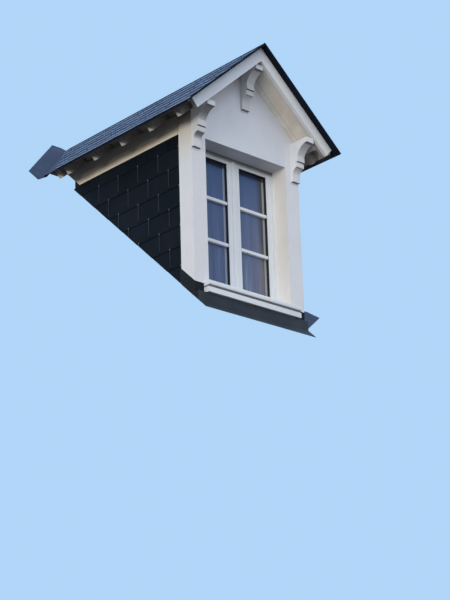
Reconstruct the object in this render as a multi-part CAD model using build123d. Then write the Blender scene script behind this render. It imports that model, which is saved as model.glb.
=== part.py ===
from math import cos, radians, sin, tan
import os

from build123d import *

os.makedirs("parts", exist_ok=True)

# Frame: the front faces -Y, +X is to the right and +Z is up. The origin lies on the
# sloping underside of the front sole, in line with the front wall's outer face.

# Slopes
MAIN_PITCH = 43.2
PITCH = 42.0

# Front wall
FRONT_WIDTH = 1330.0
POST_WIDTH = 165.0
POST_DEPTH = 173.0
FOOT_RISE = 153.0
HEAD_Z = 1558.0
PANEL_THICK = 30.0
HEAD_BEAM_RISE = 160.0

# Soles and cheeks
SOLE_NOSE = 40.0
SOLE_NOSE_TOP = 55.0
SOLE_END_Y = 1700.0
CHEEK_RECESS = 20.0
CHEEK_WALL = 85.0
CLADDING = 14.0
PLATE_RISE = 49.0
PLATE_CLEAR = 112.0
PLATE_PROUD = 12.0

# Roof build-up, measured square to the slope from the slate tops
RIDGE_RISE = 1009.0
SLOPE_LENGTH = 1270.0
SLATE = 18.0
BOARD = 22.0
BOARD_INSET = 12.0
BOARD_BACK_CUT = 120.0
RAFTER = 76.0
RAFTER_WIDTH = 68.0
TAIL_LENGTH = 1213.0
RAFTER_TIPS = [-7.0, 384.0, 777.0, 1180.0, 1580.0]
END_RAFTER_OUT = 92.0
JACK_TIPS = [1990.0, 2370.0]
RIDGE_BEAM_WIDTH = 40.0
RIDGE_BEAM_RISE = 140.0
EAVE_CUT_BACK = 215.6
RIDGE_CUT_BACK = 33.6

# Gable overhang
VERGE_OUT = 311.0
BARGE_OUT = 251.0
BARGE_THICK = 33.0
BARGE_DEPTH = 104.0
BARGE_LENGTH = 1197.0
VERGE_RAFTER_WIDTH = 30.0
VERGE_RAFTER_LENGTH = 1180.0
SOFFIT_THICK = 6.0
SOFFIT_PAST_POST = 92.0

# Brackets
BRACKET_WIDTH = 92.0
BRACKET_OUT = 226.0
BRACKET_HEIGHT = 385.0
BRACKET_BLOCK = 48.0
BRACKET_FOOT_OUT = 26.0
BRACKET_FOOT_HEIGHT = 64.0
SCROLL_OUT = 80.0
SCROLL_BOTTOM = 128.0
SCROLL_TOP = 180.0
STEM_OUT = 97.0
STEM_STRAIGHT = 60.0
COVE_IN = 14.0
COVE_UP = 8.0
SCROLL_BULGE = 5.0
NOTCH = 2.0
SWEEP_OUT = 0.35
SWEEP_UP = 0.67
BLOCK_STEP = 12.0
BRACKET_FOOT_DROP = 128.0
CENTRE_BRACKET_RISE = 427.0

# Sill
SILL_HALF = 561.0
NOSING_OUT = 73.0
NOSING_BOTTOM = 126.0
NOSING_TOP = 164.0
NOSING_ROUND = 10.0
FASCIA_OUT = 64.0
FASCIA_BOTTOM = 60.0
GROOVE_RISE = 18.0
GROOVE_DEPTH = 16.0

# Window
FRAME_HALF = 545.0
FRAME_DEPTH = 52.0
FRAME_SIGHT = 34.0
SASH_RECESS = 8.0
SASH_DEPTH = 44.0
GLASS_OUTER = 418.0
GLASS_INNER = 75.0
GLASS_DROP = 65.0
GLASS_BOTTOM = 299.0
FRAME_BOTTOM_SIGHT = 46.0
FRAME_TOP_SIGHT = 24.0
FRAME_LAP = 40.0
GLASS_THICK = 6.0
GLASS_SETBACK = 32.0
STRIP_WIDTH = 46.0
STRIP_PROUD = 12.0

# Sheet metal
SHEET = 3.0
VALLEY_SHEET = 5.0
VALLEY_LIP = 165.0
VALLEY_WING = 148.0
VALLEY_LAP = 60.0
VALLEY_TOP = 100.0
APRON_RUN = 130.0
FOOT_SHEET_OUT = 552.0
FOOT_SHEET_RUN = 395.0
FOOT_SHEET_NOSE = 35.0
FOOT_SHEET_SIDE = 342.0
FOOT_SHEET_CLIP = 107.0

HALF = FRONT_WIDTH / 2
PLATE_Z = HEAD_Z + PLATE_RISE
RIDGE_Z = HEAD_Z + RIDGE_RISE
GLASS_TOP = HEAD_Z - GLASS_DROP
OPENING_HALF = HALF - POST_WIDTH
RISE = tan(radians(MAIN_PITCH))
COS = cos(radians(PITCH))
SIN = sin(radians(PITCH))
CLADDING_X = HALF - CHEEK_RECESS + CLADDING
WALL_X = HALF - CHEEK_RECESS
INNER_X = WALL_X - CHEEK_WALL
BOARD_BASE = SLATE + BOARD
RAFTER_BASE = BOARD_BASE + RAFTER
BARGE_BASE = SLATE + BARGE_DEPTH
EAVE_X = SLOPE_LENGTH * COS
EAVE_Z = RIDGE_Z - SLOPE_LENGTH * SIN
VALLEY_FOOT_Y = EAVE_Z / RISE
VALLEY_HEAD_Y = RIDGE_Z / RISE
EAVE_END_Y = VALLEY_FOOT_Y - EAVE_CUT_BACK
SLATE_RIDGE_END_Y = VALLEY_HEAD_Y - RIDGE_CUT_BACK
FAR = 4000.0


def main_z(y):
    return RISE * y


def slope_point(s, n):
    """Point (x, z) on the right-hand slope, s down it and n below its slate tops."""
    return (s * COS - n * SIN, RIDGE_Z - s * SIN - n * COS)


def under_slope(x, n):
    """Height of the layer n below the slate tops at the distance x from the middle."""
    return RIDGE_Z - abs(x) * SIN / COS - n / COS


def box(x0, x1, y0, y1, z0, z1):
    return Pos(x0, y0, z0) * Box(x1 - x0, y1 - y0, z1 - z0, align=(Align.MIN,) * 3)


def across(points, y0, y1):
    """Prism of an (x, z) outline between two y values."""
    face = make_face(Polyline([(x, 0, z) for x, z in points], close=True))
    return Pos(0, y0, 0) * extrude(face, amount=y1 - y0, dir=(0, 1, 0))


def along(points, x0, x1):
    """Prism of a (y, z) outline between two x values."""
    face = make_face(Polyline([(0, y, z) for y, z in points], close=True))
    return Pos(x0, 0, 0) * extrude(face, amount=x1 - x0, dir=(1, 0, 0))


def upright(points, z0, z1):
    """Prism of an (x, y) outline between two z values."""
    face = make_face(Polyline([(x, y, 0) for x, y in points], close=True))
    return Pos(0, 0, z0) * extrude(face, amount=z1 - z0, dir=(0, 0, 1))


def above_main(offset=0.0):
    """Everything above the main roof's slope, raised upright by the offset."""
    points = [(-FAR, main_z(-FAR) + offset), (FAR, main_z(FAR) + offset), (-FAR, main_z(FAR) + offset)]
    return along(points, -FAR, FAR)


def slope_layer(n0, n1, length0, length1, y0, y1):
    """Layer of the right-hand slope between two depths, mitred at the ridge."""
    points = [(0, RIDGE_Z - n0 / COS), slope_point(length0, n0), slope_point(length1, n1), (0, RIDGE_Z - n1 / COS)]
    return across(points, y0, y1)


def left(shape):
    return mirror(shape, about=Plane.YZ)


def side(name, shape):
    """Write the right-hand piece and its mirror image."""
    export_step(shape, "parts/right_" + name + ".step")
    export_step(left(shape), "parts/left_" + name + ".step")


# Front wall
def post():
    points = [(0, FOOT_RISE), (POST_DEPTH, FOOT_RISE + main_z(POST_DEPTH)), (POST_DEPTH, FAR), (0, FAR)]
    stock = along(points, OPENING_HALF, HALF)
    roof = slope_layer(BOARD_BASE, FAR, FAR, FAR, -FAR, FAR)
    return stock & roof


def gable_panel():
    top = [(-OPENING_HALF, under_slope(OPENING_HALF, BOARD_BASE)), (0, under_slope(0, BOARD_BASE)),
           (OPENING_HALF, under_slope(OPENING_HALF, BOARD_BASE))]
    return across([(-OPENING_HALF, HEAD_Z)] + top + [(OPENING_HALF, HEAD_Z)], 0, PANEL_THICK)


def head_beam():
    return box(-OPENING_HALF, OPENING_HALF, PANEL_THICK, POST_DEPTH, HEAD_Z, HEAD_Z + HEAD_BEAM_RISE)


def front_sole():
    points = [(-SOLE_NOSE, main_z(-SOLE_NOSE)), (NOSING_BOTTOM / RISE, NOSING_BOTTOM), (0, NOSING_BOTTOM),
              (0, SOLE_NOSE_TOP), (-SOLE_NOSE, SOLE_NOSE_TOP)]
    return along(points, -OPENING_HALF, OPENING_HALF)


def front_apron():
    foot = main_z(-APRON_RUN)
    nose = -SOLE_NOSE
    points = [(-APRON_RUN, foot), (nose, main_z(nose)), (nose, SOLE_NOSE_TOP), (nose - SHEET, SOLE_NOSE_TOP),
              (nose - SHEET, main_z(nose) + SHEET), (-APRON_RUN, foot + 2 * SHEET)]
    return along(points, -HALF, HALF)


# Soles and cheeks
def sole():
    front = along([(0, 0), (POST_DEPTH, main_z(POST_DEPTH)),
                   (POST_DEPTH, main_z(POST_DEPTH) + FOOT_RISE), (0, FOOT_RISE)], OPENING_HALF, HALF)
    nose = along([(-SOLE_NOSE, main_z(-SOLE_NOSE)), (0, 0), (0, SOLE_NOSE_TOP),
                  (-SOLE_NOSE, SOLE_NOSE_TOP)], OPENING_HALF, HALF)
    run = along([(POST_DEPTH, main_z(POST_DEPTH)), (SOLE_END_Y, main_z(SOLE_END_Y)),
                 (SOLE_END_Y, main_z(SOLE_END_Y) + FOOT_RISE),
                 (POST_DEPTH, main_z(POST_DEPTH) + FOOT_RISE)], INNER_X, WALL_X)
    return front + nose + run


def cheek_wall():
    back = (PLATE_Z - FOOT_RISE) / RISE
    points = [(POST_DEPTH, main_z(POST_DEPTH) + FOOT_RISE), (back, PLATE_Z), (POST_DEPTH, PLATE_Z)]
    return along(points, INNER_X, WALL_X)


def cheek_slates():
    points = [(POST_DEPTH, main_z(POST_DEPTH)), (PLATE_Z / RISE, PLATE_Z), (POST_DEPTH, PLATE_Z)]
    return along(points, WALL_X, CLADDING_X)


def wall_plate():
    outer = HALF + PLATE_PROUD
    section = [(INNER_X, PLATE_Z), (outer, PLATE_Z), (outer, under_slope(outer, RAFTER_BASE)),
               (INNER_X, under_slope(INNER_X, RAFTER_BASE))]
    return (across(section, POST_DEPTH, FAR) & above_main(PLATE_CLEAR)) - sole()


# Roof
def slates():
    plan = [(-1, -VERGE_OUT), (FAR, -VERGE_OUT), (FAR, EAVE_END_Y), (EAVE_X, EAVE_END_Y),
            (0, SLATE_RIDGE_END_Y), (-1, SLATE_RIDGE_END_Y)]
    layer = slope_layer(0, SLATE, SLOPE_LENGTH, SLOPE_LENGTH, -VERGE_OUT, FAR)
    return layer & upright(plan, -FAR, FAR)


def boards():
    length = SLOPE_LENGTH - BOARD_INSET
    layer = slope_layer(SLATE, BOARD_BASE, length, length, -BARGE_OUT + BARGE_THICK, FAR)
    plan = [(-1, -FAR), (FAR, -FAR), (FAR, EAVE_END_Y), (EAVE_X - BOARD_INSET, EAVE_END_Y),
            (EAVE_X - BOARD_BACK_CUT, FAR), (-1, FAR)]
    return (layer & above_main(VALLEY_SHEET)) & upright(plan, -FAR, FAR)


def rafters():
    pieces = []
    for tip in RAFTER_TIPS + [EAVE_END_Y + END_RAFTER_OUT]:
        pieces.append(slope_layer(BOARD_BASE, RAFTER_BASE, TAIL_LENGTH, TAIL_LENGTH, tip - RAFTER_WIDTH, tip))
    for tip in JACK_TIPS:
        stock = slope_layer(BOARD_BASE, RAFTER_BASE, TAIL_LENGTH, TAIL_LENGTH, tip - RAFTER_WIDTH, tip)
        pieces.append(stock & above_main(VALLEY_SHEET))
    beam = box(-RIDGE_BEAM_WIDTH / 2, RIDGE_BEAM_WIDTH / 2, -FAR, FAR, -FAR, FAR)
    return Compound([piece.solid() for piece in [p - beam for p in pieces]])


def ridge_beam():
    half = RIDGE_BEAM_WIDTH / 2
    shoulder = under_slope(half, BOARD_BASE)
    top = under_slope(0, BOARD_BASE)
    bottom = top - RIDGE_BEAM_RISE
    section = [(-half, bottom), (half, bottom), (half, shoulder), (0, top), (-half, shoulder)]
    return across(section, PANEL_THICK, FAR) & above_main(VALLEY_SHEET)


def verge_rafter():
    y0 = -BARGE_OUT + BARGE_THICK
    return slope_layer(BOARD_BASE, BARGE_BASE, VERGE_RAFTER_LENGTH, VERGE_RAFTER_LENGTH, y0, y0 + VERGE_RAFTER_WIDTH)


def barge_board():
    return slope_layer(SLATE, BARGE_BASE, BARGE_LENGTH, BARGE_LENGTH, -BARGE_OUT, -BARGE_OUT + BARGE_THICK)


def soffit():
    y0 = -BARGE_OUT + BARGE_THICK + VERGE_RAFTER_WIDTH
    length = (HALF + BARGE_BASE * SIN) / COS + SOFFIT_PAST_POST
    return slope_layer(RAFTER_BASE, RAFTER_BASE + SOFFIT_THICK, length, length, y0, 0)


# Sheet metal on the main slope
def on_main(plan, thick):
    """Sheet of the given plan lying on the main slope."""
    slab = along([(0, 0), (FAR, main_z(FAR)), (FAR, main_z(FAR) + thick), (0, thick)], 0, FAR)
    return slab & upright(plan, -FAR, FAR)


def valley():
    """Sheet along the valley, with a wing up to the cut edge of the slates."""
    turn = (VALLEY_HEAD_Y - VALLEY_FOOT_Y) / EAVE_X
    lip = EAVE_X + VALLEY_LIP
    foot = VALLEY_FOOT_Y - VALLEY_LIP * turn
    head = VALLEY_HEAD_Y + VALLEY_TOP
    main_plan = [(lip, foot), (lip, foot + VALLEY_WING), (VALLEY_LAP, head), (0, head),
                 (0, VALLEY_HEAD_Y - VALLEY_LAP), (EAVE_X - VALLEY_LAP, VALLEY_FOOT_Y)]
    wing_plan = [(0, SLATE_RIDGE_END_Y), (EAVE_X, EAVE_END_Y), (FAR, EAVE_END_Y), (FAR, FAR), (0, FAR)]
    layer = slope_layer(SLATE - VALLEY_SHEET, SLATE, SLOPE_LENGTH, SLOPE_LENGTH, 0, FAR)
    wing = (layer & upright(wing_plan, -FAR, FAR)) & above_main()
    return on_main(main_plan, VALLEY_SHEET) + wing


def foot_flashing():
    """Sheet on the main slope beside the foot of the right-hand post."""
    reach = HALF + FOOT_SHEET_OUT
    plan = [(HALF, 0), (HALF + FOOT_SHEET_NOSE, 0), (reach, FOOT_SHEET_SIDE),
            (reach - FOOT_SHEET_CLIP, FOOT_SHEET_RUN), (CLADDING_X, FOOT_SHEET_RUN), (CLADDING_X, POST_DEPTH),
            (HALF, POST_DEPTH)]
    return on_main(plan, SHEET)


# Brackets
def bracket(foot_z):
    """Curved console: small foot, scroll, stem sweeping forward and a square head block."""
    h = BRACKET_HEIGHT
    block = h - BRACKET_BLOCK
    straight = SCROLL_TOP + STEM_STRAIGHT
    with BuildPart() as part:
        with BuildSketch(Plane.YZ):
            with BuildLine():
                l1 = Line((0, 0), (-BRACKET_FOOT_OUT, 0))
                l2 = Line(l1 @ 1, (-BRACKET_FOOT_OUT, BRACKET_FOOT_HEIGHT))
                cove_y = -(BRACKET_FOOT_OUT + SCROLL_OUT) / 2 + COVE_IN
                cove = (cove_y, (BRACKET_FOOT_HEIGHT + SCROLL_BOTTOM) / 2 + COVE_UP)
                l3 = ThreePointArc(l2 @ 1, cove, (-SCROLL_OUT, SCROLL_BOTTOM))
                scroll = (-SCROLL_OUT - SCROLL_BULGE, (SCROLL_BOTTOM + SCROLL_TOP) / 2)
                l4 = ThreePointArc(l3 @ 1, scroll, (-SCROLL_OUT, SCROLL_TOP))
                l5 = Line(l4 @ 1, (-STEM_OUT, SCROLL_TOP + NOTCH))
                l6 = Line(l5 @ 1, (-STEM_OUT, straight))
                sweep_y = -STEM_OUT - (BRACKET_OUT - STEM_OUT) * SWEEP_OUT
                sweep = (sweep_y, straight + (block - straight) * SWEEP_UP)
                l7 = ThreePointArc(l6 @ 1, sweep, (-BRACKET_OUT + BLOCK_STEP, block))
                l8 = Line(l7 @ 1, (-BRACKET_OUT, block))
                l9 = Line(l8 @ 1, (-BRACKET_OUT, h))
                l10 = Line(l9 @ 1, (0, h))
                Line(l10 @ 1, l1 @ 0)
            make_face()
        extrude(amount=BRACKET_WIDTH / 2, both=True)
    return Pos(0, 0, foot_z) * part.part


def centre_bracket():
    below_soffit = across([(-FAR, under_slope(FAR, BARGE_BASE)), (0, under_slope(0, BARGE_BASE)),
                           (FAR, under_slope(FAR, BARGE_BASE))], -FAR, FAR)
    return bracket(HEAD_Z + CENTRE_BRACKET_RISE) & below_soffit


def side_bracket():
    stock = Pos(HALF - BRACKET_WIDTH / 2, 0, 0) * bracket(HEAD_Z - BRACKET_FOOT_DROP)
    return stock & slope_layer(BARGE_BASE, FAR, FAR, FAR, -FAR, FAR)


# Sill
def sill():
    """Rounded nosing across the posts, running back between them to carry the window frame."""
    nosing = box(-SILL_HALF, SILL_HALF, -NOSING_OUT, 0, NOSING_BOTTOM, NOSING_TOP)
    board = box(-OPENING_HALF, OPENING_HALF, 0, POST_DEPTH + FRAME_DEPTH, NOSING_BOTTOM, NOSING_TOP)
    whole = nosing + board
    front = whole.edges().filter_by(Axis.X).group_by(Axis.Y)[0]
    return fillet(front, NOSING_ROUND)


def sill_fascia():
    """Board under the nosing, rebated along its top edge."""
    back = -FASCIA_OUT + GROOVE_DEPTH
    board = box(-SILL_HALF, SILL_HALF, -FASCIA_OUT, 0, FASCIA_BOTTOM, NOSING_BOTTOM - GROOVE_RISE)
    return board + box(-SILL_HALF, SILL_HALF, back, 0, NOSING_BOTTOM - GROOVE_RISE, NOSING_BOTTOM)


# Window
FRAME_TOP = HEAD_Z + FRAME_LAP
FRAME_FOOT = NOSING_TOP
SASH_OUTER = OPENING_HALF - FRAME_SIGHT
SASH_TOP = HEAD_Z - FRAME_TOP_SIGHT
SASH_FOOT = NOSING_TOP + FRAME_BOTTOM_SIGHT


def window_frame():
    y0 = POST_DEPTH
    y1 = POST_DEPTH + FRAME_DEPTH
    outer = box(-FRAME_HALF, FRAME_HALF, y0, y1, FRAME_FOOT, FRAME_TOP)
    return outer - box(-SASH_OUTER, SASH_OUTER, y0 - 1, y1 + 1, SASH_FOOT, SASH_TOP)


def sash():
    y0 = POST_DEPTH + SASH_RECESS
    outer = box(0, SASH_OUTER, y0, y0 + SASH_DEPTH, SASH_FOOT, SASH_TOP)
    return outer - box(GLASS_INNER, GLASS_OUTER, y0 - 1, y0 + SASH_DEPTH + 1, GLASS_BOTTOM, GLASS_TOP)


def glass():
    y0 = POST_DEPTH + SASH_RECESS + GLASS_SETBACK
    return box(GLASS_INNER, GLASS_OUTER, y0, y0 + GLASS_THICK, GLASS_BOTTOM, GLASS_TOP)


def cover_strip():
    y1 = POST_DEPTH + SASH_RECESS
    return box(-STRIP_WIDTH / 2, STRIP_WIDTH / 2, y1 - STRIP_PROUD, y1, SASH_FOOT, SASH_TOP)


side("post", post())
export_step(gable_panel(), "parts/gable_panel.step")
export_step(head_beam(), "parts/head_beam.step")
export_step(front_sole(), "parts/front_sole.step")
export_step(front_apron(), "parts/front_apron.step")
side("sole", sole())
side("cheek_wall", cheek_wall())
side("cheek_slates", cheek_slates())
side("wall_plate", wall_plate())
side("slates", slates())
side("boards", boards())
side("rafters", rafters())
export_step(ridge_beam(), "parts/ridge_beam.step")
side("verge_rafter", verge_rafter())
side("barge_board", barge_board())
side("soffit", soffit())
side("valley", valley())
export_step(centre_bracket(), "parts/centre_bracket.step")
side("bracket", side_bracket())
export_step(foot_flashing(), "parts/foot_flashing.step")
export_step(sill(), "parts/sill.step")
export_step(sill_fascia(), "parts/sill_fascia.step")
export_step(window_frame(), "parts/window_frame.step")
side("sash", sash())
side("glass", glass())
export_step(cover_strip(), "parts/cover_strip.step")
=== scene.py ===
import math
import random

import bpy
from mathutils import Matrix, Vector


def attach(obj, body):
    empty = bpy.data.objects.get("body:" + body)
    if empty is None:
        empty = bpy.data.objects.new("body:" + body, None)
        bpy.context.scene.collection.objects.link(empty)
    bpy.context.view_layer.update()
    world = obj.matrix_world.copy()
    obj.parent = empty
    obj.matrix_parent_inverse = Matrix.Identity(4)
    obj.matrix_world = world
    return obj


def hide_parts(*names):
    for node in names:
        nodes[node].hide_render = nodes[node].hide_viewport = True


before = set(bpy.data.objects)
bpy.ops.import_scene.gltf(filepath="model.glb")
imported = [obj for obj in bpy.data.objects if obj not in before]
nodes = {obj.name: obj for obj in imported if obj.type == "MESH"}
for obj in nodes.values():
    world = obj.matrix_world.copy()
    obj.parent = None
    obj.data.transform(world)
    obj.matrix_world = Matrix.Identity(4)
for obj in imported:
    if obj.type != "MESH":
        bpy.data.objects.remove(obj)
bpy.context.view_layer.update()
rng = random.Random(7)

# Sizes shared with the solids, in metres
MAIN_PITCH = math.radians(43.2)
ROOF_PITCH = math.radians(42.0)
MAIN_RISE = math.tan(MAIN_PITCH)
C = math.cos(ROOF_PITCH)
S = math.sin(ROOF_PITCH)
RIDGE_Z = 2.567
SLOPE = 1.270
SLATE = 0.018
BOARD = 0.022
VERGE_Y = -0.311
EAVE_END_Y = 1.613
RIDGE_END_Y = 2.700
CLAD_X = 0.659
POST_Y = 0.173
HEAD_Z = 1.558
PLATE_Z = 1.607
TAIL = 1.213
TAIL_WIDTH = 0.068
TAIL_TIPS = (-0.007, 0.384, 0.777, 1.180, 1.580, 1.705)
TAIL_DEPTH = 0.116
BARGE_END = 1.197
VERGE_RAFTER_END = 1.180
BLOCK_X = 0.630
BLOCK_END_Y = 1.78
SLATE_WIDTH = 0.284
EXPOSURE = 0.192
GLASS_X = (0.075, 0.418)
GLASS_Z = (0.299, 1.493)
SASH_Y = 0.181
GLASS_Y = 0.213
BARS = ((1.080, 1.1105), (0.671, 0.7015))
GASKET_WIDTH = 0.0035
SIDES = (("left", -1), ("right", 1))


# Node helpers
def new_material(name):
    m = bpy.data.materials.new(name)
    m.use_nodes = True
    nt = m.node_tree
    return m, nt, nt.nodes["Principled BSDF"]


def coords(nt, scale=(1, 1, 1)):
    """Place on the object, stretched by scale."""
    tc = nt.nodes.new("ShaderNodeTexCoord")
    mp = nt.nodes.new("ShaderNodeMapping")
    mp.inputs["Scale"].default_value = scale
    nt.links.new(tc.outputs["Object"], mp.inputs["Vector"])
    return mp.outputs["Vector"]


def noise(nt, vector, scale, detail=4.0, rough=0.55, distortion=0.0):
    n = nt.nodes.new("ShaderNodeTexNoise")
    n.inputs["Scale"].default_value = scale
    n.inputs["Detail"].default_value = detail
    n.inputs["Roughness"].default_value = rough
    n.inputs["Distortion"].default_value = distortion
    nt.links.new(vector, n.inputs["Vector"])
    return n.outputs["Fac"]


def grey(value):
    return (value, value, value)


def ramp(nt, fac, stops):
    """Colour for each value of fac, from stops of place and colour."""
    r = nt.nodes.new("ShaderNodeValToRGB")
    els = r.color_ramp.elements
    while len(els) < len(stops):
        els.new(0.5)
    for el, (pos, col) in zip(els, stops):
        el.position = pos
        el.color = (*col, 1)
    nt.links.new(fac, r.inputs["Fac"])
    return r.outputs["Color"]


def mix(nt, fac, a, b, mode="MIX"):
    m = nt.nodes.new("ShaderNodeMix")
    m.data_type = "RGBA"
    m.blend_type = mode
    for socket, value in ((m.inputs[0], fac), (m.inputs[6], a), (m.inputs[7], b)):
        if hasattr(value, "is_linked"):
            nt.links.new(value, socket)
        else:
            socket.default_value = (*value, 1) if isinstance(value, tuple) else value
    return m.outputs[2]


def math_node(nt, op, *values):
    m = nt.nodes.new("ShaderNodeMath")
    m.operation = op
    for socket, value in zip(m.inputs, values):
        if hasattr(value, "is_linked"):
            nt.links.new(value, socket)
        else:
            socket.default_value = value
    return m.outputs[0]


def times(nt, a, b):
    return math_node(nt, "MULTIPLY", a, b)


def band(nt, value, low, high):
    """0 below low, 1 above high."""
    m = nt.nodes.new("ShaderNodeMapRange")
    m.clamp = True
    m.inputs["From Min"].default_value = low
    m.inputs["From Max"].default_value = high
    nt.links.new(value, m.inputs["Value"])
    return m.outputs["Result"]


def geometry(nt, output):
    g = nt.nodes.new("ShaderNodeNewGeometry")
    s = nt.nodes.new("ShaderNodeSeparateXYZ")
    nt.links.new(g.outputs[output], s.inputs["Vector"])
    return s.outputs["X"], s.outputs["Y"], s.outputs["Z"]


def position(nt):
    return geometry(nt, "Position")


def facing(nt):
    """The way a face looks."""
    return geometry(nt, "True Normal")


def bump(nt, bsdf, height, strength, distance, round_edges=0.0):
    b = nt.nodes.new("ShaderNodeBump")
    b.inputs["Strength"].default_value = strength
    b.inputs["Distance"].default_value = distance
    nt.links.new(height, b.inputs["Height"])
    if round_edges:
        e = nt.nodes.new("ShaderNodeBevel")
        e.samples = 4
        e.inputs["Radius"].default_value = round_edges
        nt.links.new(e.outputs["Normal"], b.inputs["Normal"])
    nt.links.new(b.outputs["Normal"], bsdf.inputs["Normal"])


def roughness(nt, bsdf, fac, low, high):
    """Roughness from low to high as fac rises."""
    nt.links.new(ramp(nt, fac, [(0.3, grey(low)), (0.7, grey(high))]), bsdf.inputs["Roughness"])


def slope_depth(nt):
    """Distance down the slope and depth below the slate tops, on either slope."""
    x, y, z = position(nt)
    ax = math_node(nt, "ABSOLUTE", x)
    drop = math_node(nt, "SUBTRACT", RIDGE_Z, z)
    s = math_node(nt, "ADD", times(nt, ax, C), times(nt, drop, S))
    n = math_node(nt, "SUBTRACT", times(nt, drop, C), times(nt, ax, S))
    return s, n


# Materials
def white_paint(name, clean, dirty, rough=0.42, grain_axis=2, dirt=0.35, painted_shade=None, tint=None):
    """White paint.

    The painted-shade function may return where shade is painted in, from 0 to 1, and tint(nt) a colour to
    multiply by.
    """
    m, nt, bsdf = new_material(name)
    stretch = [14.0, 14.0, 14.0]
    stretch[grain_axis] = 1.2
    v = coords(nt)
    blotch = noise(nt, v, 3.2, 5, 0.6)
    fine = noise(nt, coords(nt, tuple(stretch)), 6.0, 3, 0.5)
    worn = ramp(nt, blotch, [(0.42, (0, 0, 0)), (0.72, (1, 1, 1))])
    base = mix(nt, times(nt, worn, dirt), clean, dirty)
    streak = ramp(nt, fine, [(0.3, (0.975, 0.975, 0.975)), (0.62, (1, 1, 1))])
    base = mix(nt, 1.0, base, streak, "MULTIPLY")
    if tint:
        base = mix(nt, 1.0, base, tint(nt), "MULTIPLY")
    # Painted shade: a near-black brown mixed in where the painted-shade function says.
    if painted_shade:
        base = mix(nt, painted_shade(nt), base, (0.07, 0.06, 0.05))
    nt.links.new(base, bsdf.inputs["Base Color"])
    roughness(nt, bsdf, fine, rough - 0.06, rough + 0.14)
    bsdf.inputs["Specular IOR Level"].default_value = 0.35
    bump(nt, bsdf, fine, 0.15, 0.0008, 0.002)
    return m


def sideways(nt):
    """1 on the faces that look to either side."""
    face_x, face_y, face_z = facing(nt)
    return band(nt, math_node(nt, "ABSOLUTE", face_x), 0.8, 0.9)


def side_painted_light(nt):
    """Painted light on the posts' side faces: warmer in the window opening, duller on the outer sides, and
    creamier there up towards the plate.
    """
    x, y, z = position(nt)
    outer = band(nt, math_node(nt, "ABSOLUTE", x), 0.50, 0.60)
    tint = mix(nt, outer, (1.06, 1.02, 0.92), (0.93, 0.94, 0.93))
    cream = times(nt, outer, band(nt, z, PLATE_Z - 0.28, PLATE_Z + 0.04))
    tint = mix(nt, cream, tint, (0.95, 0.88, 0.74))
    return mix(nt, sideways(nt), (1.0, 1.0, 1.0), tint)


def barge_painted_light(nt):
    """Painted light: the right-hand barge board is a little creamier than the left-hand one."""
    x, y, z = position(nt)
    return mix(nt, band(nt, x, -0.1, 0.1), (1.0, 1.0, 1.0), (1.07, 1.03, 0.95))


def verge_tint(nt):
    """The verge rafters are darker towards the eaves."""
    s, n = slope_depth(nt)
    return mix(nt, band(nt, s, 0.93, 1.06), (1.0, 1.0, 1.0), (0.50, 0.50, 0.52))


def under_eave_shade(nt):
    """Painted shade on the sides of the posts, close under the eaves."""
    x, y, z = position(nt)
    return times(nt, sideways(nt), band(nt, z, PLATE_Z + 0.03, PLATE_Z + 0.19))


def end_face_shade(limit):
    """Painted shade on the sawn lower end of a board that follows the slope."""
    def painted_shade(nt):
        s, n = slope_depth(nt)
        return times(nt, band(nt, s, limit - 0.0015, limit - 0.0005), 0.85)
    return painted_shade


def groove_shade(nt):
    """Painted shade in the groove between the sill's nosing and the board below it."""
    x, y, z = position(nt)
    low = band(nt, z, 0.1075, 0.1085)
    high = band(nt, z, 0.1265, 0.1255)
    return times(nt, times(nt, low, high), 0.70)


def head_shade(nt):
    """Painted shade on the top of the window frame, thickest against the head."""
    x, y, z = position(nt)
    uneven = noise(nt, coords(nt), 9.0, 4, 0.6)
    wander = times(nt, math_node(nt, "SUBTRACT", uneven, 0.5), 0.016)
    height = math_node(nt, "ADD", z, wander)
    return times(nt, band(nt, height, HEAD_Z - 0.048, HEAD_Z - 0.016), 0.86)


def carved_shade(nt):
    """Painted shade under the brackets' curves, most of all on the left, and on the bracket at the ridge."""
    x, y, z = position(nt)
    face_x, face_y, face_z = facing(nt)
    share = math_node(nt, "ADD", 0.15, times(nt, band(nt, x, 0.1, -0.45), 0.53))
    below = times(nt, band(nt, face_z, -0.15, -0.75), share)
    tips = times(nt, band(nt, face_z, -0.93, -0.97), 0.85)
    below = math_node(nt, "MAXIMUM", below, tips)
    return math_node(nt, "MAXIMUM", below, times(nt, band(nt, z, 1.94, 2.0), 0.20))


def reveal_shade(nt):
    """Painted shade on the underside of the head, darkest by the window, and on the panel along the left-hand
    soffit.
    """
    x, y, z = position(nt)
    face_x, face_y, face_z = facing(nt)
    down = band(nt, face_z, -0.8, -0.9)
    deep = math_node(nt, "ADD", 0.46, times(nt, band(nt, y, 0.02, POST_Y), 0.06))
    deep = math_node(nt, "SUBTRACT", deep, times(nt, band(nt, x, -0.3, 0.3), 0.16))
    s, depth = slope_depth(nt)
    left = times(nt, band(nt, x, 0.15, -0.15), 0.30)
    soffit_shade = times(nt, band(nt, depth, 0.30, 0.12), left)
    return math_node(nt, "MAXIMUM", times(nt, down, deep), soffit_shade)


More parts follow.
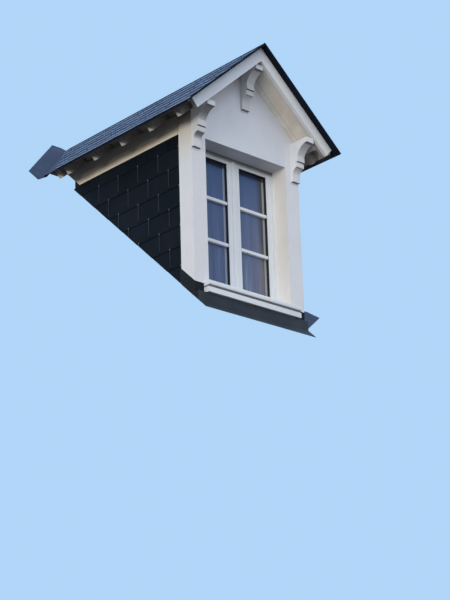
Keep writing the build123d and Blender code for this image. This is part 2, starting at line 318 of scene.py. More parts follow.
def plate_paint():
    """White plate with painted light and shade: cream at its lower edge, darker towards its top under the
    eave.
    """
    m, nt, bsdf = new_material("plate_paint")
    x, y, z = position(nt)
    v = coords(nt)
    n = noise(nt, v, 5.0, 4, 0.6)
    edge = math_node(nt, "ADD", z, times(nt, math_node(nt, "SUBTRACT", n, 0.5), 0.04))
    rise = band(nt, edge, PLATE_Z + 0.006, PLATE_Z + 0.092)
    # Painted light and shade, from cream at the lower edge to dark under the eave.
    base = ramp(nt, rise, [(0.0, (0.80, 0.74, 0.60)), (0.42, (0.37, 0.32, 0.25)),
                           (0.72, (0.19, 0.165, 0.135)), (1.0, (0.30, 0.285, 0.265))])
    # Painted shade: a dark line along the plate's underside.
    base = mix(nt, band(nt, z, PLATE_Z + 0.0012, PLATE_Z + 0.0004), base, (0.03, 0.027, 0.023))
    nt.links.new(base, bsdf.inputs["Base Color"])
    roughness(nt, bsdf, n, 0.45, 0.62)
    bump(nt, bsdf, noise(nt, coords(nt, (20, 1.5, 20)), 5.0, 3), 0.2, 0.001, 0.004)
    return m


def soffit_paint():
    """Beige boards with one joint along the wall."""
    m, nt, bsdf = new_material("soffit_paint")
    x, y, z = position(nt)
    n = noise(nt, coords(nt), 4.0, 4, 0.6)
    s, depth = slope_depth(nt)
    near = band(nt, y, -0.066, -0.058)
    base = mix(nt, near, (0.87, 0.82, 0.735), (0.90, 0.86, 0.79))
    # Painted shadow near the apex; darker also towards the eave end.
    base = mix(nt, band(nt, s, 0.40, 0.10), base, (0.49, 0.48, 0.45))
    base = mix(nt, band(nt, s, 0.93, 1.02), base, (0.47, 0.45, 0.44))
    joint = times(nt, math_node(nt, "COMPARE", y, -0.062, 0.003), 0.45)
    base = mix(nt, joint, base, (0.16, 0.14, 0.12))
    base = mix(nt, 1.0, base, ramp(nt, n, [(0.34, (0.80, 0.77, 0.72)), (0.60, (1, 1, 1))]), "MULTIPLY")
    nt.links.new(base, bsdf.inputs["Base Color"])
    roughness(nt, bsdf, n, 0.5, 0.68)
    bump(nt, bsdf, n, 0.2, 0.001, 0.003)
    return m


def timber(name, light, dark, paint=None, paint_colour=(0.80, 0.81, 0.85), tint=None):
    """Bare timber. paint(nt) may return where it is painted, from 0 to 1; on the eave boards it is painted
    shade.
    """
    m, nt, bsdf = new_material(name)
    grain = noise(nt, coords(nt, (22.0, 1.1, 22.0)), 3.0, 6, 0.62, 0.4)
    patch = noise(nt, coords(nt), 2.4, 3, 0.5)
    base = ramp(nt, grain, [(0.3, dark), (0.68, light)])
    base = mix(nt, 1.0, base, ramp(nt, patch, [(0.3, grey(0.7)), (0.7, grey(1.1))]), "MULTIPLY")
    if tint:
        base = mix(nt, 1.0, base, tint(nt), "MULTIPLY")
    if paint:
        base = mix(nt, paint(nt), base, paint_colour)
    nt.links.new(base, bsdf.inputs["Base Color"])
    roughness(nt, bsdf, grain, 0.8, 0.6)
    bsdf.inputs["Specular IOR Level"].default_value = 0.25
    bump(nt, bsdf, grain, 0.35, 0.0015, 0.003)
    return m


def board_end_shade(nt):
    """Painted shade on the lower ends of the roof boards, above the rafters' tails."""
    s, n = slope_depth(nt)
    return band(nt, s, TAIL + 0.006, TAIL + 0.014)


def outer_boards_lit(nt):
    """Painted light: lighter boards where they pass the wall."""
    x, y, z = position(nt)
    return mix(nt, band(nt, y, 0.10, -0.02), (1.0, 1.0, 1.0), (1.5, 1.45, 1.4))


def reveal_paint(nt):
    """The soles' faces that look into the window opening."""
    x, y, z = position(nt)
    return band(nt, math_node(nt, "ABSOLUTE", x), 0.5012, 0.5008)


def rafter_timber():
    """Dark rafters whose tails are painted white at the end, with a painted shadow over the upper part of
    each end face.
    """
    m, nt, bsdf = new_material("rafter_timber")
    s, n = slope_depth(nt)
    x, y, z = position(nt)
    grain = noise(nt, coords(nt, (4, 20, 20)), 3.0, 5, 0.6)
    patch = noise(nt, coords(nt), 14.0, 3, 0.6)
    dark = ramp(nt, grain, [(0.3, (0.20, 0.19, 0.18)), (0.7, (0.32, 0.305, 0.285))])
    first, last = TAIL_TIPS[0] - TAIL_WIDTH, TAIL_TIPS[-1]
    stops = []
    for tip in TAIL_TIPS:
        stops.append(((tip - TAIL_WIDTH - first) / (last - first), (0, 0, 0)))
        stops.append(((tip - first) / (last - first), (1, 1, 1)))
    # Each tail's end keeps its white paint on a lower corner and takes painted shadow on the rest.
    across = ramp(nt, band(nt, y, first, last), stops)
    jitter = times(nt, math_node(nt, "SUBTRACT", patch, 0.5), 0.5)
    up = band(nt, n, TAIL_DEPTH, TAIL_DEPTH - 0.052)
    left = math_node(nt, "ADD", math_node(nt, "SUBTRACT", across, up), jitter)
    end = times(nt, band(nt, s, TAIL - 0.006, TAIL - 0.002), band(nt, left, -0.05, 0.25))
    base = mix(nt, end, dark, (0.62, 0.60, 0.56))
    shade = times(nt, band(nt, s, TAIL - 0.006, TAIL - 0.002), band(nt, left, 0.05, -0.15))
    base = mix(nt, shade, base, (0.10, 0.095, 0.088))
    nt.links.new(base, bsdf.inputs["Base Color"])
    roughness(nt, bsdf, grain, 0.8, 0.6)
    bump(nt, bsdf, grain, 0.3, 0.0012, 0.003)
    return m


def slate_material(name, dark, light, rough, specular, relief=0.35):
    m, nt, bsdf = new_material(name)
    tone = nt.nodes.new("ShaderNodeAttribute")
    tone.attribute_name = "tone"
    riven = noise(nt, coords(nt), 26.0, 6, 0.65, 0.6)
    cloud = noise(nt, coords(nt), 4.5, 3, 0.5)
    base = ramp(nt, tone.outputs["Fac"], [(0.0, dark), (1.0, light)])
    base = mix(nt, 1.0, base, ramp(nt, cloud, [(0.3, grey(0.72)), (0.7, grey(1.2))]), "MULTIPLY")
    nt.links.new(base, bsdf.inputs["Base Color"])
    wet = mix(nt, 0.5, ramp(nt, riven, [(0.3, grey(rough - 0.1)), (0.7, grey(rough + 0.1))]),
              ramp(nt, tone.outputs["Fac"], [(0.0, grey(rough - 0.08)), (1.0, grey(rough + 0.08))]))
    nt.links.new(wet, bsdf.inputs["Roughness"])
    bsdf.inputs["Specular IOR Level"].default_value = specular
    bump(nt, bsdf, riven, relief, 0.0015)
    return m


def metal_sheet(name, light, dark, rough, metallic):
    m, nt, bsdf = new_material(name)
    cloud = noise(nt, coords(nt), 3.0, 5, 0.6, 0.3)
    run = noise(nt, coords(nt, (9, 1.5, 1.5)), 4.0, 4, 0.6)
    base = ramp(nt, cloud, [(0.32, dark), (0.68, light)])
    base = mix(nt, 1.0, base, ramp(nt, run, [(0.3, grey(0.86)), (0.7, grey(1.06))]), "MULTIPLY")
    nt.links.new(base, bsdf.inputs["Base Color"])
    roughness(nt, bsdf, run, rough - 0.08, rough + 0.12)
    bsdf.inputs["Metallic"].default_value = metallic
    bump(nt, bsdf, cloud, 0.3, 0.004)
    return m


def glass_material():
    """Panes painted with a reflected blue sky over the soft folds of a blind, with painted reflections along
    their edges.
    """
    m, nt, bsdf = new_material("pane_glass")
    x, y, z = position(nt)
    folds = noise(nt, coords(nt, (1, 1, 0.06)), 26.0, 3, 0.55, 0.2)
    low = band(nt, z, 1.45, 0.45)
    side = band(nt, x, -0.1, 0.4)
    mood = times(nt, low, math_node(nt, "ADD", 0.35, times(nt, side, 0.65)))
    # Painted sky reflection, paler low down, most of all to the right.
    base = mix(nt, mood, (0.058, 0.102, 0.245), (0.205, 0.225, 0.330))
    strength = times(nt, low, 0.85)
    fold = ramp(nt, folds, [(0.34, grey(0.68)), (0.66, grey(1.3))])
    base = mix(nt, strength, base, mix(nt, 1.0, base, fold, "MULTIPLY"))
    ax = math_node(nt, "ABSOLUTE", x)
    centre = (GLASS_X[0] + GLASS_X[1]) / 2
    half = (GLASS_X[1] - GLASS_X[0]) / 2
    middle = math_node(nt, "ABSOLUTE", math_node(nt, "SUBTRACT", ax, centre))
    right = band(nt, x, -0.05, 0.05)
    outer = math_node(nt, "SUBTRACT", x, centre)
    gloom = times(nt, band(nt, outer, half - 0.10, half - 0.045), 0.85)
    dusk = mix(nt, band(nt, z, 0.85, 0.55), (0.040, 0.055, 0.050), (0.160, 0.135, 0.140))
    base = mix(nt, gloom, base, dusk)
    # Painted reflections: pale strips at each pane's sides.
    side_reflection = band(nt, middle, half - 0.031, half - 0.026)
    base = mix(nt, side_reflection, base, mix(nt, right, (0.36, 0.42, 0.54), (0.45, 0.465, 0.45)))
    # Painted reflection: a dark band along the panes' tops.
    top_reflection = band(nt, z, GLASS_Z[1] - 0.050, GLASS_Z[1] - 0.037)
    base = mix(nt, times(nt, top_reflection, 0.85), base, (0.012, 0.014, 0.022))
    nt.links.new(base, bsdf.inputs["Base Color"])
    roughness(nt, bsdf, folds, 0.05, 0.09)
    bsdf.inputs["IOR"].default_value = 1.5
    bsdf.inputs["Specular IOR Level"].default_value = 0.4
    bump(nt, bsdf, noise(nt, coords(nt), 2.0, 2), 0.08, 0.004)
    return m


def plain(name, light, dark, rough, metallic=0.0):
    m, nt, bsdf = new_material(name)
    n = noise(nt, coords(nt), 30.0, 4, 0.6)
    nt.links.new(ramp(nt, n, [(0.3, dark), (0.7, light)]), bsdf.inputs["Base Color"])
    roughness(nt, bsdf, n, rough - 0.06, rough + 0.08)
    bsdf.inputs["Metallic"].default_value = metallic
    bump(nt, bsdf, n, 0.15, 0.0006)
    return m


# White paints, each with its painted shade; the posts and barge boards also take a tint of painted light.
FRONT_WHITE = white_paint("front_white", (0.77, 0.80, 0.87), (0.64, 0.67, 0.74), painted_shade=reveal_shade)
POST_WHITE = white_paint("post_white", (0.81, 0.82, 0.86), (0.68, 0.69, 0.72), painted_shade=under_eave_shade,
                         tint=side_painted_light)
BARGE_WHITE = white_paint("barge_white", (0.74, 0.78, 0.86), (0.60, 0.64, 0.71),
                          grain_axis=0, painted_shade=end_face_shade(BARGE_END), tint=barge_painted_light)
CARVED_WHITE = white_paint("carved_white", (0.82, 0.83, 0.86), (0.55, 0.56, 0.58),
                           dirt=0.5, painted_shade=carved_shade)
JOINERY_WHITE = white_paint("joinery_white", (0.83, 0.86, 0.90), (0.66, 0.69, 0.74),
                            rough=0.3, dirt=0.25, painted_shade=head_shade)
SILL_WHITE = white_paint("sill_white", (0.84, 0.88, 0.93), (0.62, 0.66, 0.72), rough=0.35,
                         grain_axis=0, dirt=0.5, painted_shade=groove_shade)
VERGE_WHITE = white_paint("verge_white", (0.70, 0.67, 0.62), (0.50, 0.47, 0.42),
                          dirt=0.6, painted_shade=end_face_shade(VERGE_RAFTER_END), tint=verge_tint)
PLATE = plate_paint()
SOFFIT = soffit_paint()
# Eave boards: near-black painted shade at their lower ends and painted light where they pass the wall.
EAVE_BOARD = timber("eave_board", (0.46, 0.44, 0.42), (0.30, 0.285, 0.27),
                    paint=board_end_shade, paint_colour=(0.022, 0.022, 0.028), tint=outer_boards_lit)
INSIDE_TIMBER = timber("inside_timber", (0.36, 0.27, 0.18), (0.20, 0.14, 0.09))
SOLE_TIMBER = timber("sole_timber", (0.009, 0.011, 0.014), (0.0045, 0.0055, 0.0075), paint=reveal_paint)
RAFTER = rafter_timber()
# Roof slates: dark slate tinted blue by a painted reflection of the sky; their tail edges pale blue, a
# painted sky glint.
ROOF_SLATE = slate_material("roof_slate", (0.009, 0.018, 0.044), (0.022, 0.042, 0.090), 0.55, 0.06, 0.12)
SLATE_EDGE_GLINT = slate_material("slate_edge_glint", (0.35, 0.54, 0.92), (0.41, 0.60, 0.97), 0.55, 0.2, 0.12)
# Near black for the dark slate ends and the painted shade along the verge and under the eave.
VERGE_SLATE = slate_material("verge_slate", (0.004, 0.0065, 0.014), (0.008, 0.012, 0.024), 0.65, 0.08)
# Near black for the dark slate and the painted shade on the cheeks under the eaves.
CHEEK_SLATE = slate_material("cheek_slate", (0.0028, 0.0046, 0.0075), (0.006, 0.0092, 0.015), 0.6, 0.09)
ZINC = metal_sheet("zinc", (0.020, 0.031, 0.092), (0.011, 0.018, 0.060), 0.6, 0.1)
# Dark grey sheet for the front apron: the metal's own dark and painted shade below the sill.
DARK_SHEET = metal_sheet("dark_sheet", (0.036, 0.041, 0.050), (0.018, 0.021, 0.027), 0.6, 0.2)
GLASS = glass_material()
GASKET = plain("gasket", (0.012, 0.013, 0.02), (0.006, 0.007, 0.012), 0.5)
HOOK = plain("hook_wire", (0.26, 0.29, 0.33), (0.14, 0.16, 0.18), 0.45, 0.6)
ROOF_HOOK = plain("roof_hook", (0.06, 0.09, 0.15), (0.03, 0.05, 0.09), 0.45, 0.4)
JOINT = plain("slate_joint", (0.045, 0.052, 0.062), (0.022, 0.026, 0.032), 0.7)


# Mesh helpers
class Bag:
    """Collects closed pieces into one mesh, each with its own tone."""

    def __init__(self, name):
        self.name = name
        self.verts = []
        self.faces = []
        self.tones = []
        self.mats = []

    def prism(self, top, bottom, tone=0.5, mat=0, edges=()):
        """Closed piece between two rings of points in the same order.

        edges lists the sides, counted from the first two points, that take the next material.
        """
        base = len(self.verts)
        n = len(top)
        self.verts += [tuple(p) for p in top] + [tuple(p) for p in bottom]
        rings = [tuple(range(base, base + n)), tuple(reversed(range(base + n, base + 2 * n)))]
        for i in range(n):
            j = (i + 1) % n
            rings.append((base + i, base + n + i, base + n + j, base + j))
        for i, f in enumerate(rings):
            self.faces.append(f)
            self.tones.append(tone)
            self.mats.append(mat + 1 if i - 2 in edges else mat)

    def box(self, low, high, tone=0.5, mat=0):
        (x0, y0, z0), (x1, y1, z1) = low, high
        top = [(x0, y0, z1), (x1, y0, z1), (x1, y1, z1), (x0, y1, z1)]
        self.prism(top, [(x, y, z0) for x, y, _ in top], tone, mat)

    def build(self, materials, replaced=(), bevel=0.0, segments=1):
        mesh = bpy.data.meshes.new(self.name)
        mesh.from_pydata(self.verts, [], self.faces)
        for m in materials:
            mesh.materials.append(m)
        mesh.polygons.foreach_set("material_index", self.mats)
        tone = mesh.attributes.new("tone", "FLOAT", "FACE")
        tone.data.foreach_set("value", self.tones)
        mesh.validate()
        mesh.update()
        obj = bpy.data.objects.new(self.name, mesh)
        bpy.context.scene.collection.objects.link(obj)
        bpy.context.view_layer.objects.active = obj
        obj.select_set(True)
        bpy.ops.object.mode_set(mode="EDIT")
        bpy.ops.mesh.select_all(action="SELECT")
        bpy.ops.mesh.normals_make_consistent(inside=False)
        bpy.ops.object.mode_set(mode="OBJECT")
        obj.select_set(False)
        if bevel:
            mod = obj.modifiers.new("edges", "BEVEL")
            mod.width = bevel
            mod.segments = segments
            mod.limit_method = "ANGLE"
        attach(obj, "root")
        if replaced:
            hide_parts(*replaced)


def clip(poly, a, b):
    """The part of a polygon on the left of the line from a to b."""
    def inside(p):
        return (b[0] - a[0]) * (p[1] - a[1]) - (b[1] - a[1]) * (p[0] - a[0]) >= -1e-12

    def cross(p, q):
        d = (q[0] - p[0], q[1] - p[1])
        e = (b[0] - a[0], b[1] - a[1])
        t = ((a[0] - p[0]) * e[1] - (a[1] - p[1]) * e[0]) / (d[0] * e[1] - d[1] * e[0])
        return (p[0] + t * d[0], p[1] + t * d[1])

    out = []
    for i, p in enumerate(poly):
        q = poly[(i + 1) % len(poly)]
        if inside(p):
            out.append(p)
            if not inside(q):
                out.append(cross(p, q))
        elif inside(q):
            out.append(cross(p, q))
    return out


def clip_to(poly, region):
    """The part of a polygon inside a convex region given anticlockwise."""
    for i, a in enumerate(region):
        poly = clip(poly, a, region[(i + 1) % len(region)])
        if len(poly) < 3:
            return []
    clean = []
    for i, p in enumerate(poly):
        q = poly[i - 1]
        if math.hypot(p[0] - q[0], p[1] - q[1]) > 1e-5:
            clean.append(p)
    area = sum(clean[i - 1][0] * clean[i][1] - clean[i][0] * clean[i - 1][1] for i in range(len(clean)))
    return clean if len(clean) > 2 and area > 2e-5 else []


TOP_DEPTH = 0.0005
OVERLAP_STEP = 0.0012
TAIL_EDGE = 0.003
CLOSED_GAP = 0.0022
SHORT_LAP = 0.035


def slate_field(bag, place, region, tails, centres, thick, total, glint_tails=False, gap=CLOSED_GAP,
                exposure=EXPOSURE, lap=SHORT_LAP):
    """Overlapping slates in a (u, v) field where v runs down the covering.

    place(u, v, n) gives the point n below the outer face. tails lists the courses' lower
    edges and centres the middle of one slate in each of two alternating courses.
    """
    hooks = []
    u0 = min(p[0] for p in region)
    u1 = max(p[0] for p in region)
    for k, tail in enumerate(tails):
        middle = centres[k % 2]
        first = middle - SLATE_WIDTH * math.ceil((middle - u0) / SLATE_WIDTH + 1)
        count = int((u1 - first) / SLATE_WIDTH) + 2
        for i in range(count):
            m = first + i * SLATE_WIDTH
            half = SLATE_WIDTH / 2 - gap
            lift = rng.uniform(0, 0.0008)
            skew = rng.uniform(-0.0012, 0.0012)
            head = tail - exposure - lap
            rect = [(m - half, head), (m + half, head), (m + half, tail + skew), (m - half, tail - skew)]
            poly = clip_to(rect, region)
            if not poly:
                continue

            def depth(v):
                return lift + TOP_DEPTH + (thick + OVERLAP_STEP) * (tail - v) / exposure

            top = [place(u, v, depth(v)) for u, v in poly]
            low = [place(u, v, min(depth(v) + thick, total)) for u, v in poly]
            edges = []
            # Tail edges take the next material, a painted glint of the sky.
            if glint_tails:
                following = poly[1:] + poly[:1]
                pairs = enumerate(zip(poly, following))
                edges = [j for j, (p, q) in pairs if min(p[1], q[1]) > tail - TAIL_EDGE]
            bag.prism(top, low, rng.random(), 0, edges)
            hooks.append((m, tail, lift))
    return hooks


def inside_region(p, region, margin):
    """Whether a point lies inside a convex region by at least the margin."""
    for i, a in enumerate(region):
        b = region[(i + 1) % len(region)]
        length = math.hypot(b[0] - a[0], b[1] - a[1])
        if ((b[0] - a[0]) * (p[1] - a[1]) - (b[1] - a[1]) * (p[0] - a[0])) / length < margin:
            return False
    return True


# Roof slates
def slope_place(side):
    """Points on a slope, never past the mitre in the plane of the ridge."""
    def place(u, v, n):
        v = max(v, n * S / C)
        return (side * (v * C - n * S), u, RIDGE_Z - v * S - n * C)
    return place


VERGE_STRIP = 0.006
ROOF_START = VERGE_Y + VERGE_STRIP
ROOF_REGION = [(ROOF_START, 0.0), (RIDGE_END_Y, 0.0), (EAVE_END_Y, SLOPE), (ROOF_START, SLOPE)]
ROOF_EXPOSURE = 0.233
EAVE_COURSE = 0.1995
LAST_TAIL = SLOPE - 0.0005
ROOF_TAILS = [LAST_TAIL] + [LAST_TAIL - EAVE_COURSE - k * ROOF_EXPOSURE for k in range(5)]
ROOF_CENTRES = (0.05, 0.05 + SLATE_WIDTH / 2)
ROOF_SLATE_THICK = 0.0066
ROOF_GAP = 0.0010
ROOF_LAP = 0.07
UNDERLAY_DEPTH = 0.0142
VERGE_DARK = 0.3


def hook_pieces(bag, place, spots, region, length, width, proud):
    """Wire hooks that hold the slates' lower edges, in the same field."""
    for u, v, lift in spots:
        if not inside_region((u, v), region, 0.001) or not inside_region((u, v - 0.02), region, 0.004):
            continue
        a, b = u - width / 2, u + width / 2
        ring = [(a, v - length), (b, v - length), (b, v + 0.003), (a, v + 0.003)]
        top = [place(p, q, -proud) for p, q in ring]
        low = [place(p, q, 0.004) for p, q in ring]
        bag.prism(top, low, rng.random())


def layer(bag, place, ring, top, bottom, tone=0.5, mat=0):
    """A flat piece with the ring's outline, between two depths below the outer face."""
    bag.prism([place(u, v, top) for u, v in ring], [place(u, v, bottom) for u, v in ring], tone, mat)


def roof_slates(name, side):
    """Slates of one slope, with the underlay, the verge strip and the strip under the eave."""
    place = slope_place(side)
    bag = Bag(name + "_roof_slates")
    spots = slate_field(bag, place, ROOF_REGION, ROOF_TAILS, ROOF_CENTRES, ROOF_SLATE_THICK, SLATE, True,
                        ROOF_GAP, EAVE_COURSE, ROOF_LAP)
    layer(bag, place, ROOF_REGION, UNDERLAY_DEPTH, SLATE, 0.5, 2)
    inner = ROOF_START - 0.0003
    verge = [(VERGE_Y, 0.0), (inner, 0.0), (inner, SLOPE), (VERGE_Y, SLOPE)]
    layer(bag, place, verge, 0.0006, SLATE, VERGE_DARK, 2)
    front, back = VERGE_Y + 0.008, EAVE_END_Y - 0.004
    high, low = SLOPE - 0.006, SLOPE - 0.001
    layer(bag, place, [(front, high), (back, high), (back, low), (front, low)], 0.0065, 0.0175, VERGE_DARK, 2)
    bag.build([ROOF_SLATE, SLATE_EDGE_GLINT, VERGE_SLATE], (name + "_slates",))
    hooks = Bag(name + "_roof_hooks")
    hook_pieces(hooks, place, spots, ROOF_REGION, 0.010, 0.005, 0.0025)
    hooks.build([ROOF_HOOK])


def ridge_sheet():
    """Folded sheet over the ridge."""
    reach = 0.050
    top = [slope_place(side)(0.0, v, 0.0002) for side, v in ((-1, reach), (-1, 0.0), (1, 0.0), (1, reach))]
    low = [slope_place(side)(0.0, v, 0.0016) for side, v in ((1, reach), (1, 0.0), (-1, reach))]
    section = [top[0], top[1], top[3], low[0], low[1], low[2]]
    bag = Bag("ridge_sheet")
    back = RIDGE_END_Y - 0.06
    bag.prism([(x, VERGE_Y + 0.002, z) for x, _, z in section], [(x, back, z) for x, _, z in section])
    bag.build([ZINC])


for name, side in SIDES:
    roof_slates(name, side)
ridge_sheet()


# Cheek slates
def cheek_place(side):
    def place(u, v, n):
        return (side * (CLAD_X - n), u, PLATE_Z - v)
    return place


CHEEK_REGION = [(POST_Y, 0.0), (PLATE_Z / MAIN_RISE, 0.0), (POST_Y, PLATE_Z - MAIN_RISE * POST_Y)]
TOP_TAIL_Z = 1.502
CHEEK_COURSES = 8
CHEEK_TAILS = [PLATE_Z - TOP_TAIL_Z + k * EXPOSURE for k in range(CHEEK_COURSES)]
CHEEK_CENTRES = (0.472, 0.330)
CHEEK_SLATE_THICK = 0.0048
CHEEK_DEPTH = 0.0138
JOINT_HALF = 0.002


def cheek_slates(name, side):
    """Slates of one cheek, with their hooks and the upright joints below them."""
    place = cheek_place(side)
    bag = Bag(name + "_cheek_slating")
    spots = slate_field(bag, place, CHEEK_REGION, CHEEK_TAILS, CHEEK_CENTRES, CHEEK_SLATE_THICK, CHEEK_DEPTH)
    layer(bag, place, CHEEK_REGION, 0.0118, 0.014, 0.0)
    bag.build([CHEEK_SLATE], (name + "_cheek_slates",))
    lines = Bag(name + "_cheek_hooks")
    hook_pieces(lines, place, spots, CHEEK_REGION, 0.014, 0.006, 0.0)
    for u, v, lift in spots:
        a, b = u - JOINT_HALF, u + JOINT_HALF
        end = v + EXPOSURE - 0.03
        poly = clip_to([(a, v), (b, v), (b, end), (a, end)], CHEEK_REGION)
        if poly:
            layer(lines, place, poly, 0.0012, 0.009, 0.5, 1)
    lines.build([HOOK, JOINT])


for name, side in SIDES:
    cheek_slates(name, side)


# Eave and roof boards
BOARD_COUNT = 12
BOARD_GAP = 0.0015
BOARD_START_Y = -0.218


def boards(name, side):
    """Boards along one slope, cut off on a slant at the back."""
    place = slope_place(side)
    bag = Bag(name + "_board_planks")
    low_n = SLATE + BOARD
    end = SLOPE - 0.012
    back = 0.005
    reach = [((RIDGE_Z - s * S - low_n * C - back) / MAIN_RISE, s) for s in (0.0, end)]
    width = end / BOARD_COUNT
    last = BOARD_COUNT - 1
    for k in range(BOARD_COUNT):
        v0 = k * width + (BOARD_GAP if k else 0.0)
        v1 = end if k == last else (k + 1) * width - BOARD_GAP
        row = [(BOARD_START_Y, v0), (4.0, v0), (4.0, v1), (BOARD_START_Y, v1)]
        poly = clip(row, reach[0], reach[1])
        if k >= last - 1:
            limit = EAVE_END_Y if k == last else EAVE_END_Y + 0.11
            poly = clip(poly, (limit, 0.0), (limit, 1.0))
        if k == last - 2:
            poly = clip(poly, (EAVE_END_Y + 0.30, 0.0), (EAVE_END_Y + 0.30, 1.0))
        if len(poly) < 3:
            continue
        layer(bag, place, poly, SLATE, low_n, rng.random())
    bag.build([EAVE_BOARD], (name + "_boards",))


def blocking(name, side):
    """Boards on edge that close the gaps between the rafters, on the wall plate."""
    place = slope_place(side)
    bag = Bag(name + "_eave_blocking")
    s0 = (BLOCK_X + TAIL_DEPTH * S) / C
    starts = [POST_Y, *TAIL_TIPS[1:]]
    ends = [tip - TAIL_WIDTH for tip in TAIL_TIPS[1:]] + [BLOCK_END_Y]
    for y0, y1 in zip(starts, ends):
        a, b = y0 + 0.001, y1 - 0.001
        ring = [(a, s0), (b, s0), (b, s0 + 0.016), (a, s0 + 0.016)]
        layer(bag, place, ring, SLATE + BOARD, TAIL_DEPTH, rng.random())
    bag.build([EAVE_BOARD])


for name, side in SIDES:
    boards(name, side)
    blocking(name, side)


# Glazing bars and gaskets
def glazing(name, side):
    """Bars across one casement's glass, and the gasket round it."""
    x0, x1 = sorted((side * GLASS_X[0], side * GLASS_X[1]))
    z0, z1 = GLASS_Z
    bag = Bag(name + "_glazing_bars")
    for low, high in BARS:
        bag.box((x0 + GASKET_WIDTH, SASH_Y + 0.001, low), (x1 - GASKET_WIDTH, GLASS_Y, high))
    bag.build([JOINERY_WHITE], bevel=0.004, segments=2)
    bag = Bag(name + "_gaskets")
    y0, y1 = SASH_Y + 0.003, GLASS_Y
    bag.box((x0, y0, z0), (x0 + GASKET_WIDTH, y1, z1))
    bag.box((x1 - GASKET_WIDTH, y0, z0), (x1, y1, z1))
    bag.box((x0 + GASKET_WIDTH, y0, z1 - GASKET_WIDTH), (x1 - GASKET_WIDTH, y1, z1))
    bag.box((x0 + GASKET_WIDTH, y0, z0), (x1 - GASKET_WIDTH, y1, z0 + GASKET_WIDTH))
    bag.build([GASKET])


for name, side in SIDES:
    glazing(name, side)


# Finishes of the solids that show as they are
def finish_node(node, material):
    mesh = nodes[node].data
    mesh.materials.clear()
    mesh.materials.append(material)


PAIRED = {"post": POST_WHITE, "barge_board": BARGE_WHITE, "verge_rafter": VERGE_WHITE, "soffit": SOFFIT,
          "bracket": CARVED_WHITE, "sash": JOINERY_WHITE, "glass": GLASS, "wall_plate": PLATE,
          "rafters": RAFTER, "cheek_wall": INSIDE_TIMBER, "sole": SOLE_TIMBER, "valley": ZINC}
SINGLE = {"gable_panel": FRONT_WHITE, "head_beam": FRONT_WHITE, "front_sole": SOLE_TIMBER,
          "front_apron": DARK_SHEET, "foot_flashing": ZINC, "ridge_beam": INSIDE_TIMBER,
          "centre_bracket": CARVED_WHITE, "sill": SILL_WHITE, "sill_fascia": SILL_WHITE,
          "window_frame": JOINERY_WHITE, "cover_strip": JOINERY_WHITE}

for node, material in PAIRED.items():
    finish_node("left_" + node, material)
    finish_node("right_" + node, material)
for node, material in SINGLE.items():
    finish_node(node, material)


# Floor, light and camera
def seen_ray(nt):
    """1 for what the camera sees, directly or in gloss and glass."""
    path = nt.nodes.new("ShaderNodeLightPath")
    shiny = math_node(nt, "MAXIMUM", path.outputs["Is Glossy Ray"], path.outputs["Is Transmission Ray"])
    return math_node(nt, "MAXIMUM", path.outputs["Is Camera Ray"], shiny)


FLOOR_Z = -7.2
FLOOR_HALF = 150.0


def stage():
    """A pale floor that throws only a little light back up."""
    mesh = bpy.data.meshes.new("floor")
    corners = ((-1, -1), (1, -1), (1, 1), (-1, 1))
    mesh.from_pydata([(FLOOR_HALF * x, FLOOR_HALF * y, FLOOR_Z) for x, y in corners], [], [(0, 1, 2, 3)])
    floor = bpy.data.objects.new("floor", mesh)
    bpy.context.scene.collection.objects.link(floor)
    m, nt, bsdf = new_material("floor_paint")
    n = noise(nt, coords(nt), 0.6, 3)
    paint = ramp(nt, n, [(0.3, (0.70, 0.72, 0.75)), (0.7, (0.74, 0.76, 0.79))])
    nt.links.new(paint, bsdf.inputs["Base Color"])
    bsdf.inputs["Roughness"].default_value = 0.9
    dim = nt.nodes.new("ShaderNodeBsdfDiffuse")
    dim.inputs["Color"].default_value = (0.16, 0.155, 0.15, 1)
    pick = nt.nodes.new("ShaderNodeMixShader")
    nt.links.new(seen_ray(nt), pick.inputs["Fac"])
    nt.links.new(dim.outputs["BSDF"], pick.inputs[1])
    nt.links.new(bsdf.outputs["BSDF"], pick.inputs[2])
    nt.links.new(pick.outputs["Shader"], nt.nodes["Material Output"].inputs["Surface"])
    mesh.materials.append(m)


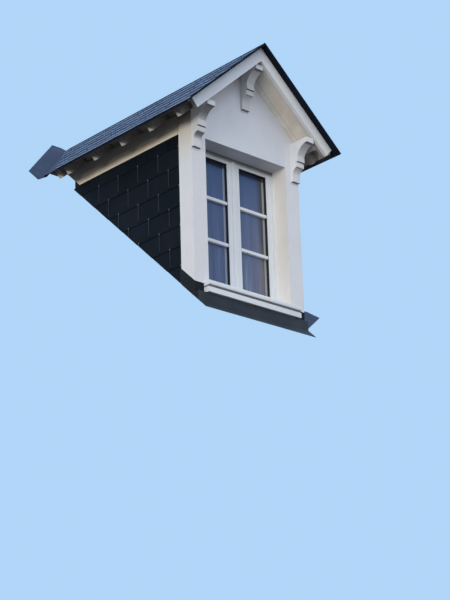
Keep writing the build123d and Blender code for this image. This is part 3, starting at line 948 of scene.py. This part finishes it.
def lights():
    """Sky that shows blue and lights nearly white, and two soft suns."""
    world = bpy.data.worlds.new("studio")
    bpy.context.scene.world = world
    world.use_nodes = True
    nt = world.node_tree
    nt.nodes.clear()
    out = nt.nodes.new("ShaderNodeOutputWorld")
    seen = nt.nodes.new("ShaderNodeBackground")
    seen.inputs["Color"].default_value = (0.44, 0.67, 0.94, 1)
    seen.inputs["Strength"].default_value = 1.0
    lit = nt.nodes.new("ShaderNodeBackground")
    lit.inputs["Color"].default_value = (0.90, 0.96, 1.06, 1)
    lit.inputs["Strength"].default_value = 0.90
    pick = nt.nodes.new("ShaderNodeMixShader")
    nt.links.new(seen_ray(nt), pick.inputs["Fac"])
    nt.links.new(lit.outputs["Background"], pick.inputs[1])
    nt.links.new(seen.outputs["Background"], pick.inputs[2])
    nt.links.new(pick.outputs["Shader"], out.inputs["Surface"])
    for name, towards, strength, colour, angle in (
            ("key", (0.90, 0.33, -0.03), 1.45, (1.0, 0.92, 0.80), 25),
            ("fill", (0.15, 1.0, -0.30), 0.32, (0.90, 0.96, 1.0), 60)):
        data = bpy.data.lights.new(name, "SUN")
        data.energy = strength
        data.color = colour
        data.angle = math.radians(angle)
        lamp = bpy.data.objects.new(name, data)
        lamp.rotation_euler = Vector(towards).to_track_quat("-Z", "Y").to_euler()
        bpy.context.scene.collection.objects.link(lamp)


CAMERA_PLACE = (-10.5685, -10.9885, -5.5449)
CAMERA_LENS = 110.0


def camera():
    """The photograph's view, with its turns in radians."""
    yaw, pitch, roll = 0.7507, 0.3565, -0.0313
    right = Vector((math.cos(yaw), -math.sin(yaw), 0))
    ahead = Vector((math.sin(yaw) * math.cos(pitch), math.cos(yaw) * math.cos(pitch), math.sin(pitch)))
    up = right.cross(ahead)
    x = math.cos(roll) * right + math.sin(roll) * up
    y = math.cos(roll) * up - math.sin(roll) * right
    data = bpy.data.cameras.new("photo_view")
    data.sensor_width = 36.0
    data.lens = CAMERA_LENS
    data.clip_end = 200.0
    cam = bpy.data.objects.new("photo_view", data)
    m = Matrix((x, y, -ahead)).transposed().to_4x4()
    m.translation = Vector(CAMERA_PLACE)
    cam.matrix_world = m
    bpy.context.scene.collection.objects.link(cam)
    bpy.context.scene.camera = cam


stage()
lights()
camera()
bpy.context.scene.view_settings.view_transform = "Standard"
